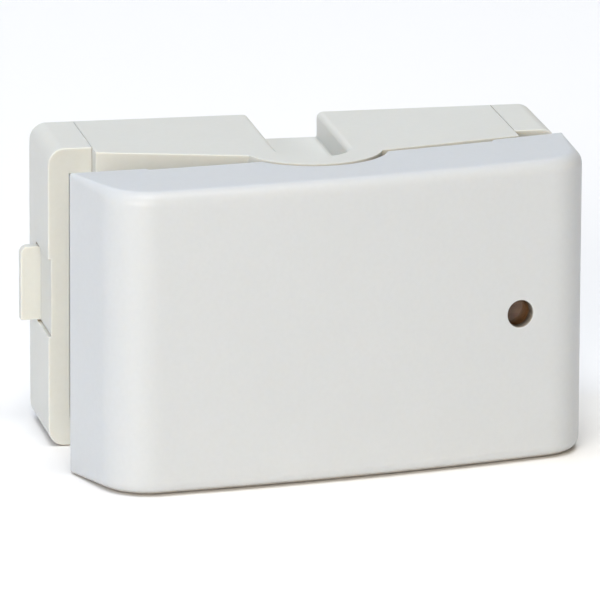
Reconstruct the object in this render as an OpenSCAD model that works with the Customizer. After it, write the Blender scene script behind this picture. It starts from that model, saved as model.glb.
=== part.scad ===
// Wall unit of a garage door opener: a light receiver that is aimed along the drive.
// A bracket is screwed to the wall, a hollow carrier is latched into it, and a closed
// head swivels on two pivot pins between the carrier's upper and lower lips.
// +X is to the right, +Y into the wall, +Z up; the origin is the centre of the wall face.
// "Depth" is a distance out from the wall, along -Y. The head has its own frame: u runs
// across it, v runs forward from the pivot axis, and z is up.

/* [Base] */
// Width across the two end walls of the bracket
base_w = 102; // [98:1:108]
// Height of the base
base_h = 60.2; // [59:0.1:62]
// Depth of the end walls of the bracket
end_depth = 23; // [22:0.5:24]
// Width of each end wall's return, measured from the outer side
end_return = 8.7; // [8.5:0.1:9.5]
// Radius of the four long corners of the bracket
base_corner_r = 3.3; // [2:0.1:4]
// Depth of the carrier's front where it stands out of the end walls
nose_side_depth = 27.4; // [27:0.1:28]
// Depth of the carrier's front where it meets the round lips
nose_mid_depth = 34.9; // [34:0.1:35.5]

/* [Swivel] */
// Depth of the vertical pivot axis
pivot_depth = 30.5; // [30:0.1:31]
// Radius of the round lips above and below the head
lip_r = 14; // [13.5:0.1:14.2]
// Angle that the head is turned to, towards the left end standing forward
head_angle = 9.8; // [0:0.2:9.8]
// Radius of the pivot pins
pivot_r = 2; // [1.5:0.1:2.2]
// Radial running clearance of the pivot pins and latch trunnions
running_gap = 0.05; // [0.02:0.01:0.1]

/* [Cable recess] */
// Half the width of the recess in the top of the base
recess_r = 6.9; // [6:0.1:7.2]
// Depth of the recess below the top of the base
recess_drop = 5.1; // [4:0.1:5.5]

/* [Head] */
// Height of the head
head_h = 60; // [59:0.1:62]
// Width of the head across its rear edge
head_back_w = 103; // [102:0.5:104]
// Width of the head across its front, before its corners are rounded
head_front_w = 97.4; // [96:0.2:99]
// Distance of the front face's middle from the pivot axis
head_front_v = 27.6; // [27.4:0.1:29]
// Distance of the rear edge's middle from the pivot axis
head_back_v = 6.45; // [6:0.05:6.8]
// Radius of the bow of the front face and the rear edge
bow_r = 510; // [450:10:700]
// Radius of the two upright front corners
head_corner_r = 10; // [6:0.5:11]
// Radius of the top and bottom edges along the front
front_edge_r = 2.6; // [1.5:0.1:3]
// Radius of the top and bottom edges at the rear
rear_edge_r = 0.6; // [0.4:0.1:2]
// Radius of the light port
port_r = 2.7; // [2:0.1:3]
// Distance of the light port from the middle of the head
port_u = 33.7; // [30:0.1:35]

/* [Walls] */
// Thickness of the moulded walls
wall = 2.2; // [2:0.1:2.4]
// Thickness of the bracket's rear plate
plate_t = 2.5; // [2.3:0.1:2.8]

/* [Fasteners] */
// Radius of the holes for the wall screws
wall_hole_r = 2.25; // [2:0.05:2.5]
// Distance between the wall screws across the bracket
wall_hole_dx = 64; // [60:1:66]
// Distance between the wall screws up the bracket
wall_hole_dz = 28; // [26:1:30]

/* [Hidden] */
$fn = 48;
round_steps = 8;      // facets across a rounded edge of the head
eps = 0.01;
gap = 0.2;            // seam between the moulded parts of the base

shell_white = [0.91, 0.90, 0.87];
base_white = [0.90, 0.89, 0.86];
steel = [0.72, 0.73, 0.75];
brass = [0.80, 0.68, 0.40];
rubber_black = [0.10, 0.10, 0.10];
plastic_black = [0.07, 0.07, 0.08];
board_brown = [0.45, 0.30, 0.15];

half_w = base_w/2;
base_half = base_h/2;
half_h = head_h/2;
return_x = half_w - end_return;       // inner end of each return
carrier_x = return_x - gap;           // outer side of the carrier
carrier_z = base_half;                // top of the carrier
rim_side = 3.9;                       // thickness of an end wall
rim_top = 4.5;                        // thickness of a return
cavity_z = carrier_z - wall;          // inner height of the carrier
plate_z = cavity_z - gap;             // half height of the rear plate's middle
carrier_back = 0.3;                   // the carrier clears the wall by this much

lip_t = 10.6;                         // thickness of a lip
lip_z = carrier_z - lip_t;            // inner face of a lip
lip_core_r = lip_r - wall;            // cored underside of a lip
lip_core_t = 2.8;
pin_boss_r = 5;
nose_half = sqrt(pow(lip_r, 2) - pow(nose_mid_depth - pivot_depth, 2));
nose_slope = (nose_mid_depth - nose_side_depth)/(carrier_x - nose_half);
nose_wall = wall*sqrt(1 + pow(nose_slope, 2));
nose_overlap = 2;                     // the sloped front runs this far on into a lip
window_x = 11.2;                      // half width of the opening between the lips
recess_floor = carrier_z - recess_drop;
recess_edge_r = 1.2;
recess_edge_sink = 0.03;               // keeps the rounding from ending in a knife edge
notch_x = recess_r + wall;            // outer side of the recess's walls
notch_floor = recess_floor - wall;    // underside of the recess's floor

washer_t = 0.4;
washer_r = 4.5;
ear_t = 3;
ear_r = 4.5;
ear_top = lip_z - washer_t - 2*running_gap;
ear_bottom = ear_top - ear_t;
pin_head_r = 3.6;
pin_head_t = 1.2;
pin_grip = 4;                         // length of a pin inside its lip

latch_half = 7.6;                     // half height of a latch lever
latch_back = 8.2;                     // depth of its free end
latch_front = 21.6;                   // depth of its pivoted end
latch_inset = 0.6;                    // its outer face lies this far below the side
latch_t = 1.8;
latch_gap = 0.3;
latch_pivot_depth = 20.6;
latch_pivot_x = half_w - latch_inset - latch_t/2;
trunnion_r = 0.7;
trunnion_len = 1.2;
lug_front = 10.6;                     // depth of the lug's front face
lug_reach = 3.5;                      // how far the lug stands out of the side
lug_round = 1.6;
barb_back = 9.6;
barb_front = 11.4;
barb_reach = 2.7;
barb_tip_t = 0.6;                     // the barb's tip is this thick
barb_foot = 1.2;                      // its slope starts this far in front of it
lug_margin = 0.1;                     // the lug is lower than the lever by this much at each end
ledge_back = 7;
ledge_front = 9.1;
ledge_tip = half_w - rim_side - gap;
ledge_half = 6;

seal_x = 38;                          // middle of the wall seal's long run
seal_z = 20.5;
seal_w = 2;
seal_t = 1.5;
boss_r = 5;                           // raised boss around each wall screw
boss_t = 1.5;
grommet_z = -8;
grommet_bore_r = 3.2;
grommet_neck_r = 6;
grommet_flange_r = 8;
grommet_flange_t = 1.2;
grommet_lip_t = 2;
grommet_len = 7;

// Head outline: the centres of the upright corners follow from the bow and the side's slope.
bow_centre_v = head_front_v - bow_r;
back_centre_v = head_back_v - bow_r;
back_half = head_back_w/2;
front_half = head_front_w/2;
side_front_v = bow_centre_v + sqrt(pow(bow_r, 2) - pow(front_half, 2));
side_back_v = back_centre_v + sqrt(pow(bow_r, 2) - pow(back_half, 2));
side_tilt = atan2(back_half - front_half, side_front_v - side_back_v);
foot_v = 1;                           // the outline starts this far in front of the pivot axis
side_steps = 8;                       // facets along a side, an upright corner, half the front
corner_steps = 12;
front_steps = 12;
rounding_from = 4;                    // the edges' rounding grows between these distances
rounding_to = 20;
inner_edge_r = 0.8;
inner_steps = 2;
cut_gap = 0.8;                        // gap round the lips
cut_r = lip_r + cut_gap;
relief_u = 36;                        // the rear edge is relieved between these
relief_t = 0.7;
ledge_v = 11.4;                       // rear face of the shell's seal ledge
ledge_t = 1.6;
ledge_w = 1.4;

chassis_v = 8.2;                      // rear face of the chassis plate
chassis_t = 2;
chassis_front = chassis_v + chassis_t;
chassis_gap = 0.4;                    // between the plate and the shell
pocket_r = lip_r + 1;                 // clearance round a lip inside the head
pocket_wall = 1.6;
way_u = 7;                            // half width of the cable way through the head
way_z = 9;
post_u = 40;                          // posts for the cover screws
post_v = 13.4;
post_half = 3.2;
post_top = -21.4;
cover_screw_r = 1.2;
cover_head_r = 2.6;
cover_head_t = 1.1;
cover_sink = 1.2;
cover_screw_len = 6.6;

board_back = 11.8;
board_t = 1.6;
board_front = board_back + board_t;
board_u = 42;
board_low = -20.5;
board_high = 24.5;
board_notch_u = 17.2;
board_notch_z = 14.9;
board_holes = [[-38.5, 21.5], [38.5, 21.5], [-38.5, -17.5], [38.5, -17.5]];
standoff_r = 3;
board_screw_r = 1.1;
board_screw_head_r = 2.3;
board_screw_head_t = 1.4;
lead_r = 0.3;
solder_len = 1.2;                     // leads show this far below the board

terminal_pitch = 5.08;
terminal_ways = 5;
terminal_pos = [-27.6, -10];
terminal_d = 8;
terminal_h = 9.8;
terminal_screw_r = 1.7;
relay_pos = [-28.5, 11.5];
relay_size = [19, 15.4, 9.8];
capacitor_pos = [-12.3, 9.6];
suppressor_pos = [-10.9, -11.5];
regulator_pos = [12.6, 10.6];
chip_pos = [13.6, -9];
crystal_pos = [23.6, -15.4];
trimmer_pos = [23.6, 14];
trimmer_size = [7, 7, 4.6];
dial_r = 2.4;
dial_t = 1.3;
led_pos = [34.6, 15.6];
resistor_rows = 4;
resistor_pos = [23.2, 6.4];
resistor_pitch = 3.2;
diode_pos = [-40.2, -1.2];
diode_pitch = 4;
transistor_pos = [32.4, -12.6];
jumper_pos = [-20.4, -1.6];
tube_out_r = 4.2;
tube_in_r = 2.9;
tube_front = 23.6;
filter_r = 3.5;
filter_t = 1.2;
cell_r = 2.5;
cell_t = 2;
cell_rise = 5;

// ---------- shared shapes ----------

// Extrudes an X-Z outline between two depths.
module depth_extrude(from, to) {
    translate([0, -from, 0]) rotate([90, 0, 0]) linear_extrude(to - from) children();
}

// Extrudes an outline given as [x, depth] between two heights.
module plan_extrude(from, to) {
    translate([0, 0, from]) linear_extrude(to - from) mirror([0, 1]) children();
}

module rounded_rect(w, h, r) {
    square([w - 2*r, h], center = true);
    square([w, h - 2*r], center = true);
    for (sx = [-1, 1], sz = [-1, 1]) translate([sx*(w/2 - r), sz*(h/2 - r)]) circle(r = r);
}

// Places children in the head's frame, where they use [u, -v, z].
module head_frame() {
    translate([0, -pivot_depth, 0]) rotate([0, 0, head_angle]) children();
}

// Places a component on the front of the circuit board, with its own z pointing forward.
module on_board(at) {
    head_frame() translate([at[0], -board_front, at[1]]) rotate([90, 0, 0]) children();
}

module mirrored_z() {
    children();
    mirror([0, 0, 1]) children();
}

module mirrored_x() {
    children();
    mirror([1, 0, 0]) children();
}

// Soldered lead that runs through the board.
module lead(x, y, top) {
    translate([x, y, -board_t - solder_len]) cylinder(r = lead_r, h = top + board_t + solder_len);
}

// Pan-head screw along +z, its head's seat at the origin.
module pan_screw(r, len, head_r, head_t) {
    difference() {
        union() {
            translate([0, 0, -len]) cylinder(r = r, h = len + eps);
            cylinder(r = head_r, h = head_t);
        }
        for (turn = [0, 90]) rotate([0, 0, turn])
            translate([-head_r*0.6, -head_r*0.12, head_t*0.45]) cube([head_r*1.2, head_r*0.24, head_t]);
    }
}

// ---------- base ----------

module wall_holes() {
    for (sx = [-1, 1], sz = [-1, 1])
        translate([sx*wall_hole_dx/2, 0, sz*wall_hole_dz/2]) rotate([90, 0, 0]) children();
}

module latch_window() {
    // through the end wall, behind the lever, and a shallow run-out to the rim
    translate([half_w - rim_side - 1, -latch_front - latch_gap, -latch_half - latch_gap])
        cube([rim_side + 2, latch_front - latch_back + 2*latch_gap, 2*(latch_half + latch_gap)]);
    translate([half_w - latch_inset, -end_depth - 1, -latch_half - latch_gap])
        cube([latch_inset + 1, end_depth - latch_front + 2, 2*(latch_half + latch_gap)]);
    translate([latch_pivot_x, -latch_pivot_depth, -latch_half - trunnion_len - latch_gap])
        cylinder(r = trunnion_r + running_gap, h = 2*(latch_half + trunnion_len + latch_gap));
}

module wall_bracket() {
    color(base_white) difference() {
        union() {
            depth_extrude(0, plate_t) square([base_w - 2*rim_side, 2*plate_z], center = true);
            difference() {
                depth_extrude(0, end_depth) rounded_rect(base_w, base_h, base_corner_r);
                depth_extrude(plate_t, end_depth + 1)
                    square([base_w - 2*rim_side, base_h - 2*rim_top], center = true);
                depth_extrude(-1, end_depth + 1) square([2*return_x, base_h + 2], center = true);
            }
            wall_holes() cylinder(r = boss_r, h = plate_t + boss_t);
        }
        wall_holes() translate([0, 0, -1]) cylinder(r = wall_hole_r, h = plate_t + boss_t + 2);
        mirrored_x() latch_window();
        // notch for the floor of the carrier's cable recess
        translate([-notch_x - gap, -plate_t - 1, notch_floor - gap])
            cube([2*(notch_x + gap), plate_t + 2, base_half]);
        // groove for the wall seal
        depth_extrude(-1, seal_t) difference() {
            square([2*seal_x + seal_w, 2*seal_z + seal_w], center = true);
            square([2*seal_x - seal_w, 2*seal_z - seal_w], center = true);
        }
        translate([0, 1, grommet_z]) rotate([90, 0, 0]) {
            cylinder(r = grommet_neck_r, h = plate_t + 2);
            cylinder(r = grommet_flange_r + gap, h = 1 + grommet_flange_t);
        }
    }
}

module wall_seal() {
    clear = 0.05;
    color(rubber_black) depth_extrude(0, seal_t - clear) difference() {
        square([2*(seal_x - clear) + seal_w, 2*(seal_z - clear) + seal_w], center = true);
        square([2*(seal_x + clear) - seal_w, 2*(seal_z + clear) - seal_w], center = true);
    }
}

module cable_grommet() {
    clear = 0.05;
    lip_back = plate_t + clear;
    color(rubber_black) translate([0, 0, grommet_z]) rotate([90, 0, 0]) rotate_extrude() polygon([
        [grommet_bore_r, 0],
        [grommet_flange_r, 0],
        [grommet_flange_r, grommet_flange_t - clear],
        [grommet_neck_r - clear, grommet_flange_t - clear],
        [grommet_neck_r - clear, lip_back],
        [grommet_flange_r, lip_back],
        [grommet_flange_r, lip_back + grommet_lip_t],
        [grommet_neck_r - 1, lip_back + grommet_lip_t],
        [grommet_bore_r + 1, grommet_len],
        [grommet_bore_r, grommet_len]]);
}

// The sloped front runs on a little way into the lips, so that the two solids cross cleanly.
module nose_outline() {
    end_x = nose_half - nose_overlap;
    end_depth = nose_mid_depth + nose_overlap*nose_slope;
    polygon([[-carrier_x, carrier_back], [carrier_x, carrier_back], [carrier_x, nose_side_depth],
        [end_x, end_depth], [-end_x, end_depth], [-carrier_x, nose_side_depth]]);
}

module nose_inside() {
    inner_x = carrier_x - wall;
    inner_side = nose_side_depth + wall*nose_slope - nose_wall;
    inner_mid = nose_mid_depth - nose_wall;
    polygon([[-inner_x, -1], [inner_x, -1], [inner_x, inner_side],
        [nose_half, inner_mid], [-nose_half, inner_mid], [-inner_x, inner_side]]);
}

// Half section of the cable recess, with its upper edge rounded over.
module recess_section() {
    translate([0, recess_floor]) square([recess_r, recess_drop + 1]);
    translate([recess_r, carrier_z - recess_edge_r]) difference() {
        square([recess_edge_r, recess_edge_r + 1]);
        translate([recess_edge_r, -recess_edge_sink]) circle(r = recess_edge_r);
    }
}

module cable_recess() {
    depth_extrude(-1, pivot_depth) {
        recess_section();
        mirror([1, 0]) recess_section();
    }
    translate([0, -pivot_depth, 0]) rotate([0, 0, 180]) rotate_extrude(angle = 180) recess_section();
}

module latch_ledge() {
    translate([carrier_x - eps, -ledge_front, -ledge_half])
        cube([ledge_tip - carrier_x + eps, ledge_front - ledge_back, 2*ledge_half]);
}

module swivel_carrier() {
    color(base_white) difference() {
        union() {
            difference() {
                plan_extrude(-carrier_z, carrier_z) nose_outline();
                plan_extrude(-cavity_z, cavity_z) nose_inside();
                // the side walls stop at the bracket's plate
                translate([-half_w, -plate_t - gap, -cavity_z]) cube([base_w, plate_t + 1, 2*cavity_z]);
            }
            mirrored_z() translate([0, -pivot_depth, lip_z]) cylinder(r = lip_r, h = lip_t, $fn = 96);
            // walls and floor of the cable recess
            translate([-notch_x, -pivot_depth, notch_floor])
                cube([2*notch_x, pivot_depth - carrier_back, carrier_z - notch_floor]);
            mirrored_x() latch_ledge();
        }
        cable_recess();
        // opening between the lips
        translate([-window_x, -pivot_depth - lip_r, -lip_z]) cube([2*window_x, 2*lip_r, 2*lip_z]);
        mirrored_z() translate([0, -pivot_depth, lip_z]) {
            // the lips are cored from inside, round the bosses that hold the pins
            translate([0, 0, -1]) difference() {
                cylinder(r = lip_core_r, h = lip_core_t + 1);
                cylinder(r = pin_boss_r, h = lip_core_t + 2);
            }
            translate([0, 0, -1]) cylinder(r = pivot_r, h = pin_grip + 1);
        }
    }
}

// Right-hand latch lever: lug outside, barb inside, trunnions at its front end.
module latch() {
    outer = half_w - latch_inset;
    inner = outer - latch_t;
    lug_tip = half_w + lug_reach;
    lug_h = latch_half - lug_margin;
    translate([inner, -latch_front, -latch_half]) cube([latch_t, latch_front - latch_back, 2*latch_half]);
    difference() {
        translate([outer - eps, -lug_front, -lug_h]) cube([lug_tip - outer + eps, lug_front - latch_back, 2*lug_h]);
        translate([lug_tip - lug_round, -lug_front - 1, lug_h - lug_round]) difference() {
            cube([lug_round + 1, lug_front - latch_back + 2, lug_round + 1]);
            rotate([-90, 0, 0]) translate([0, 0, -1]) cylinder(r = lug_round, h = lug_front + 2);
        }
    }
    // barb, sloped at its rear so that the ledge can push past it
    translate([0, 0, -ledge_half]) linear_extrude(2*ledge_half) polygon([
        [inner + eps, -barb_back], [inner - barb_reach, -barb_back],
        [inner - barb_reach, -barb_back - barb_tip_t], [inner + eps, -barb_front - barb_foot]]);
    translate([latch_pivot_x, -latch_pivot_depth, -latch_half - trunnion_len])
        cylinder(r = trunnion_r, h = 2*(latch_half + trunnion_len));
}

module right_latch() {
    color(base_white) latch();
}

module left_latch() {
    color(base_white) mirror([1, 0, 0]) latch();
}

// Pin that is pressed into a lip and carries an ear of the head below its flange.
module pivot_pin() {
    color(steel) translate([0, -pivot_depth, 0]) difference() {
        union() {
            translate([0, 0, ear_bottom - running_gap]) cylinder(r = pivot_r, h = lip_z + pin_grip - ear_bottom);
            translate([0, 0, ear_bottom - running_gap - pin_head_t]) cylinder(r = pin_head_r, h = pin_head_t);
        }
        translate([-pin_head_r, -0.4, ear_bottom - pin_head_t - 1]) cube([2*pin_head_r, 0.8, 1.6]);
    }
}

module upper_pivot_pin() {
    pivot_pin();
}

module lower_pivot_pin() {
    mirror([0, 0, 1]) pivot_pin();
}

module wave_washer() {
    color(steel) translate([0, -pivot_depth, ear_top + running_gap]) difference() {
        cylinder(r = washer_r, h = washer_t);
        translate([0, 0, -1]) cylinder(r = pivot_r + 0.1, h = washer_t + 2);
    }
}

module upper_wave_washer() {
    wave_washer();
}

module lower_wave_washer() {
    mirror([0, 0, 1]) wave_washer();
}

// ---------- head casing ----------

// Plan outline of the head, each point as [u, v] and the outward direction there. It goes from
// behind the rear edge on the right, round the front, to the same place on the left.
function right_edge() =
    let (// the corner's centre lies head_corner_r inside both the side and the bowed front
        reach = bow_r - head_corner_r,
        side_c = front_half*cos(side_tilt) + side_front_v*sin(side_tilt) - head_corner_r,
        last = side_tilt + acos((side_c - bow_centre_v*sin(side_tilt))/reach),
        centre = [0, bow_centre_v] + reach*[cos(last), sin(last)],
        side_out = [cos(side_tilt), sin(side_tilt)],
        foot = [back_half + (side_back_v - foot_v)*tan(side_tilt), foot_v],
        run = centre + head_corner_r*side_out - foot)
    concat(
        [for (i = [0:side_steps - 1]) concat(foot + run*i/side_steps, side_out)],
        [for (i = [0:corner_steps]) let (a = side_tilt + (last - side_tilt)*i/corner_steps)
            concat(centre + head_corner_r*[cos(a), sin(a)], [cos(a), sin(a)])],
        [for (i = [1:front_steps]) let (a = last + (90 - last)*i/front_steps)
            concat([0, bow_centre_v] + bow_r*[cos(a), sin(a)], [cos(a), sin(a)])]);

function head_edge() =
    let (right = right_edge())
    concat(right, [for (i = [len(right) - 2:-1:0]) let (e = right[i]) [-e[0], e[1], -e[2], e[3]]]);

// The same outline moved inwards by inset, as [u, v].
function head_outline(inset) = [for (e = head_edge()) [e[0] - e[2]*inset, e[1] - e[3]*inset]];

// The top and bottom edges are rounded more and more from the rear to the front.
function edge_radius(v, rear_r, front_r) =
    rear_r + (front_r - rear_r)*min(1, max(0, (v - rounding_from)/(rounding_to - rounding_from)));

// Rounded block of the head's outer shape, moved inwards by inset.
module head_block(inset, rear_r, front_r, steps) {
    edge = head_edge();
    n = len(edge);
    middle = (n - 1)/2;
    // levels of the outline, from the flat bottom up to the flat top
    levels = concat([for (k = [steps:-1:0]) [-1, 90*k/steps]], [for (k = [0:steps]) [1, 90*k/steps]]);
    points = [for (level = levels, e = edge)
        let (r = edge_radius(e[1], rear_r, front_r), in = inset + r*(1 - cos(level[1])))
        [e[0] - e[2]*in, e[3]*in - e[1], level[0]*(half_h - inset - r*(1 - sin(level[1])))]];
    sides = [for (j = [0:len(levels) - 2], i = [0:n - 1]) let (a = j*n, next = (i + 1)%n)
        each [[a + i, a + next, a + n + next], [a + i, a + n + next, a + n + i]]];
    // the flat ends, in strips between the right and the left half
    strips = concat([for (i = [0:middle - 1]) [i, i + 1, n - 1 - i]],
        [for (i = [1:middle - 1]) [i, n - 1 - i, n - i]]);
    top = (len(levels) - 1)*n;
    polyhedron(points, concat(sides, [for (s = strips) [s[0], s[2], s[1]]],
        [for (s = strips) [top + s[0], top + s[1], top + s[2]]]));
}

// Cylinders that cut the bowed rear edge and the clearances round the lips.
module rear_cut(shift) {
    translate([0, -back_centre_v - shift, -half_h - 1]) cylinder(r = bow_r, h = head_h + 2, $fn = 720);
}

module port_hole(r, h) {
    translate([port_u, 0, 0]) rotate([90, 0, 0]) cylinder(r = r, h = h);
}

module cover_screw_places() {
    for (su = [-1, 1]) translate([su*post_u, -post_v, -half_h]) children();
}

module head_shell() {
    inner_z = half_h - wall;
    color(shell_white) head_frame() difference() {
        union() {
            difference() {
                head_block(0, rear_edge_r, front_edge_r, round_steps);
                head_block(wall, inner_edge_r, inner_edge_r, inner_steps);
            }
            // ledge that the seal is pressed against
            difference() {
                plan_extrude(-inner_z - 0.5, inner_z + 0.5) intersection() {
                    polygon(head_outline(wall - 0.5));
                    translate([-half_w, ledge_v]) square([base_w, ledge_t]);
                }
                plan_extrude(-inner_z + ledge_w, inner_z - ledge_w)
                    polygon(head_outline(wall + ledge_w));
            }
        }
        rear_cut(0);
        intersection() {
            rear_cut(relief_t);
            translate([-relief_u, -head_front_v, -half_h - 1]) cube([2*relief_u, head_front_v, head_h + 2]);
        }
        mirrored_z() translate([0, 0, ear_bottom]) cylinder(r = cut_r, h = half_h, $fn = 96);
        mirrored_z() translate([0, 0, ear_bottom - 1]) cylinder(r = pocket_r + pocket_wall + gap,
            h = half_h - wall - ear_bottom + 1, $fn = 96);
        port_hole(port_r, head_front_v + 1);
        cover_screw_places() {
            translate([0, 0, -1]) cylinder(r = cover_screw_r + 0.2, h = wall + 2);
            translate([0, 0, -1]) cylinder(r = cover_head_r + 0.15, h = cover_sink + 1);
        }
        // the ledge is cut away at the posts
        cover_screw_places() translate([-post_half - gap, -post_half, wall])
            cube([2*(post_half + gap), 2*post_half, 6]);
    }
}

module head_seal() {
    clear = 0.05;
    seal_gap = 0.3;
    inner_z = half_h - wall;
    color(rubber_black) head_frame() difference() {
        plan_extrude(-inner_z + seal_gap, inner_z - seal_gap) intersection() {
            polygon(head_outline(wall + seal_gap));
            translate([-half_w, chassis_front + clear])
                square([base_w, ledge_v - chassis_front - 2*clear]);
        }
        plan_extrude(-inner_z + ledge_w, inner_z - ledge_w) polygon(head_outline(wall + ledge_w));
        mirrored_z() cylinder(r = pocket_r + pocket_wall + gap, h = half_h, $fn = 96);
        cover_screw_places() translate([-post_half - gap, -post_half, wall])
            cube([2*(post_half + gap), 2*post_half, 6]);
    }
}

module head_chassis() {
    plate_top = half_h - wall - chassis_gap;
    color(shell_white) head_frame() difference() {
        union() {
            plan_extrude(-plate_top, plate_top) intersection() {
                polygon(head_outline(wall + chassis_gap));
                translate([-half_w, chassis_v]) square([base_w, chassis_t]);
            }
            // round pockets that clear the lips
            mirrored_z() intersection() {
                translate([0, 0, ear_bottom]) cylinder(r = pocket_r + pocket_wall,
                    h = plate_top - ear_bottom, $fn = 96);
                translate([-half_w, -half_w - chassis_v, 0]) cube([base_w, half_w, half_h]);
            }
            mirrored_z() translate([0, 0, ear_bottom]) {
                cylinder(r = ear_r, h = ear_t);
                translate([-ear_r, -chassis_v - 1, 0]) cube([2*ear_r, chassis_v + 1, ear_t]);
            }
            for (at = board_holes) translate([at[0], -chassis_v, at[1]]) rotate([90, 0, 0])
                cylinder(r = standoff_r, h = board_back - chassis_v - running_gap);
            for (su = [-1, 1]) translate([su*post_u - post_half, -post_v - post_half, -plate_top])
                cube([2*post_half, post_v + post_half - chassis_v, plate_top + post_top]);
        }
        mirrored_z() translate([0, 0, ear_top]) cylinder(r = pocket_r, h = half_h, $fn = 96);
        mirrored_z() translate([0, 0, ear_bottom - 1]) cylinder(r = pivot_r + running_gap, h = ear_t + 2);
        translate([-way_u, -chassis_front - 1, -way_z]) cube([2*way_u, chassis_t + 2, 2*way_z]);
        for (at = board_holes) translate([at[0], -chassis_v + 1, at[1]]) rotate([90, 0, 0])
            cylinder(r = board_screw_r, h = board_back);
        cover_screw_places() cylinder(r = cover_screw_r, h = half_h + post_top - 1);
    }
}

module cover_screws() {
    color(steel) head_frame() cover_screw_places()
        translate([0, 0, cover_sink]) mirror([0, 0, 1])
            pan_screw(cover_screw_r, cover_screw_len, cover_head_r, cover_head_t);
}

// ---------- electronics ----------

module circuit_board() {
    color(board_brown) head_frame() difference() {
        translate([-board_u, -board_front, board_low]) cube([2*board_u, board_t, board_high - board_low]);
        for (sz = [-1, 1]) translate([-board_notch_u, -board_front - 1, sz > 0 ? board_notch_z : -half_h])
            cube([2*board_notch_u, board_t + 2, half_h - board_notch_z]);
        translate([-way_u, -board_front - 1, -way_z]) cube([2*way_u, board_t + 2, 2*way_z]);
        for (at = board_holes) translate([at[0], -board_back + 1, at[1]]) rotate([90, 0, 0])
            cylinder(r = board_screw_r + 0.2, h = board_t + 2);
    }
}

module board_screws() {
    color(steel) for (at = board_holes) on_board(at)
        pan_screw(board_screw_r, board_t + 2.8, board_screw_head_r, board_screw_head_t);
}

module terminal_places() {
    for (i = [0:terminal_ways - 1])
        translate([(i - (terminal_ways - 1)/2)*terminal_pitch, 0, 0]) children();
}

module terminal_block() {
    body_w = terminal_ways*terminal_pitch;
    color([0.16, 0.42, 0.28]) on_board(terminal_pos) difference() {
        union() {
            translate([-body_w/2, -terminal_d/2, 0]) cube([body_w, terminal_d, terminal_h*0.7]);
            translate([-body_w/2, -terminal_d/2 + 1.4, 0]) cube([body_w, terminal_d - 2.8, terminal_h]);
            terminal_places() lead(0, 0, 1);
        }
        terminal_places() {
            translate([-1.5, -terminal_d/2 - 1, 1.2]) cube([3, 4, 3.4]);
            translate([0, 0, terminal_h - 2.2]) cylinder(r = terminal_screw_r + 0.1, h = 3);
        }
    }
}

module terminal_screws() {
    color(brass) on_board(terminal_pos) terminal_places() translate([0, 0, terminal_h - 2.1]) difference() {
        cylinder(r = terminal_screw_r, h = 1.6);
        translate([-terminal_screw_r, -0.3, 0.9]) cube([2*terminal_screw_r, 0.6, 1]);
    }
}

module relay() {
    color([0.12, 0.22, 0.45]) on_board(relay_pos) {
        translate([-relay_size[0]/2, -relay_size[1]/2, 0.3]) cube([relay_size[0], relay_size[1], relay_size[2] - 0.3]);
        for (x = [-7, -5, 7], y = [-6, 6]) lead(x, y, 1);
    }
}

module smoothing_capacitor() {
    color([0.10, 0.13, 0.35]) on_board(capacitor_pos) difference() {
        union() {
            translate([0, 0, 0.3]) cylinder(r = 4, h = 9);
            for (x = [-1.75, 1.75]) lead(x, 0, 1);
        }
        for (turn = [0, 90]) rotate([0, 0, turn]) translate([-2.4, -0.15, 9]) cube([4.8, 0.3, 1]);
    }
}

module surge_suppressor() {
    color([0.15, 0.25, 0.55]) on_board(suppressor_pos) {
        translate([0, 1.4, 4.6]) rotate([90, 0, 0]) cylinder(r = 3.4, h = 2.8);
        for (x = [-2.5, 2.5]) lead(x, 0, 3);
    }
}

module voltage_regulator() {
    color([0.10, 0.10, 0.11]) on_board(regulator_pos) {
        difference() {
            union() {
                translate([-5, -2.2, 1]) cube([10, 3, 6]);
                translate([-5, 0.8 - eps, 1]) cube([10, 1.3, 9.2]);
            }
            translate([0, 4, 8.4]) rotate([90, 0, 0]) cylinder(r = 1.3, h = 6);
        }
        for (x = [-2.54, 0, 2.54]) lead(x, -0.7, 1.5);
    }
}

module controller_chip() {
    pins = 7;
    color(plastic_black) on_board(chip_pos) {
        difference() {
            translate([-3.2, -4.7, 0.5]) cube([6.4, 9.4, 3.3]);
            translate([0, 4.7, 3.2]) cylinder(r = 0.8, h = 1);
        }
        for (sx = [-1, 1], i = [0:pins - 1]) translate([0, (i - (pins - 1)/2)*1.27, 0]) {
            lead(sx*3.6, 0, 2.2);
            translate([sx*3.4 - 0.5, -0.2, 1.8]) cube([1, 0.4, 0.4]);
        }
    }
}

module crystal() {
    color(steel) on_board(crystal_pos) {
        translate([0, 0, 0.4]) linear_extrude(3.4) {
            square([6.4, 4.4], center = true);
            for (sx = [-1, 1]) translate([sx*3.2, 0]) circle(r = 2.2);
        }
        for (x = [-2.44, 2.44]) lead(x, 0, 1);
    }
}

module sensitivity_trimmer() {
    color([0.13, 0.30, 0.62]) on_board(trimmer_pos) {
        difference() {
            translate([-trimmer_size[0]/2, -trimmer_size[1]/2, 0.4]) cube(trimmer_size);
            translate([0, 0, trimmer_size[2] - 0.7]) cylinder(r = dial_r + running_gap, h = 2);
        }
        for (x = [-2.5, 2.5]) lead(x, -2.5, 1);
        lead(0, 2.5, 1);
    }
}

module trimmer_dial() {
    color([0.92, 0.92, 0.88]) on_board(trimmer_pos) translate([0, 0, trimmer_size[2] - 0.65]) difference() {
        cylinder(r = dial_r, h = dial_t);
        for (turn = [0, 90]) rotate([0, 0, turn])
            translate([-dial_r*0.75, -0.3, dial_t - 0.6]) cube([dial_r*1.5, 0.6, 1]);
        translate([dial_r*0.85, -0.25, dial_t - 0.6]) cube([dial_r, 0.5, 1]);
    }
}

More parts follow.
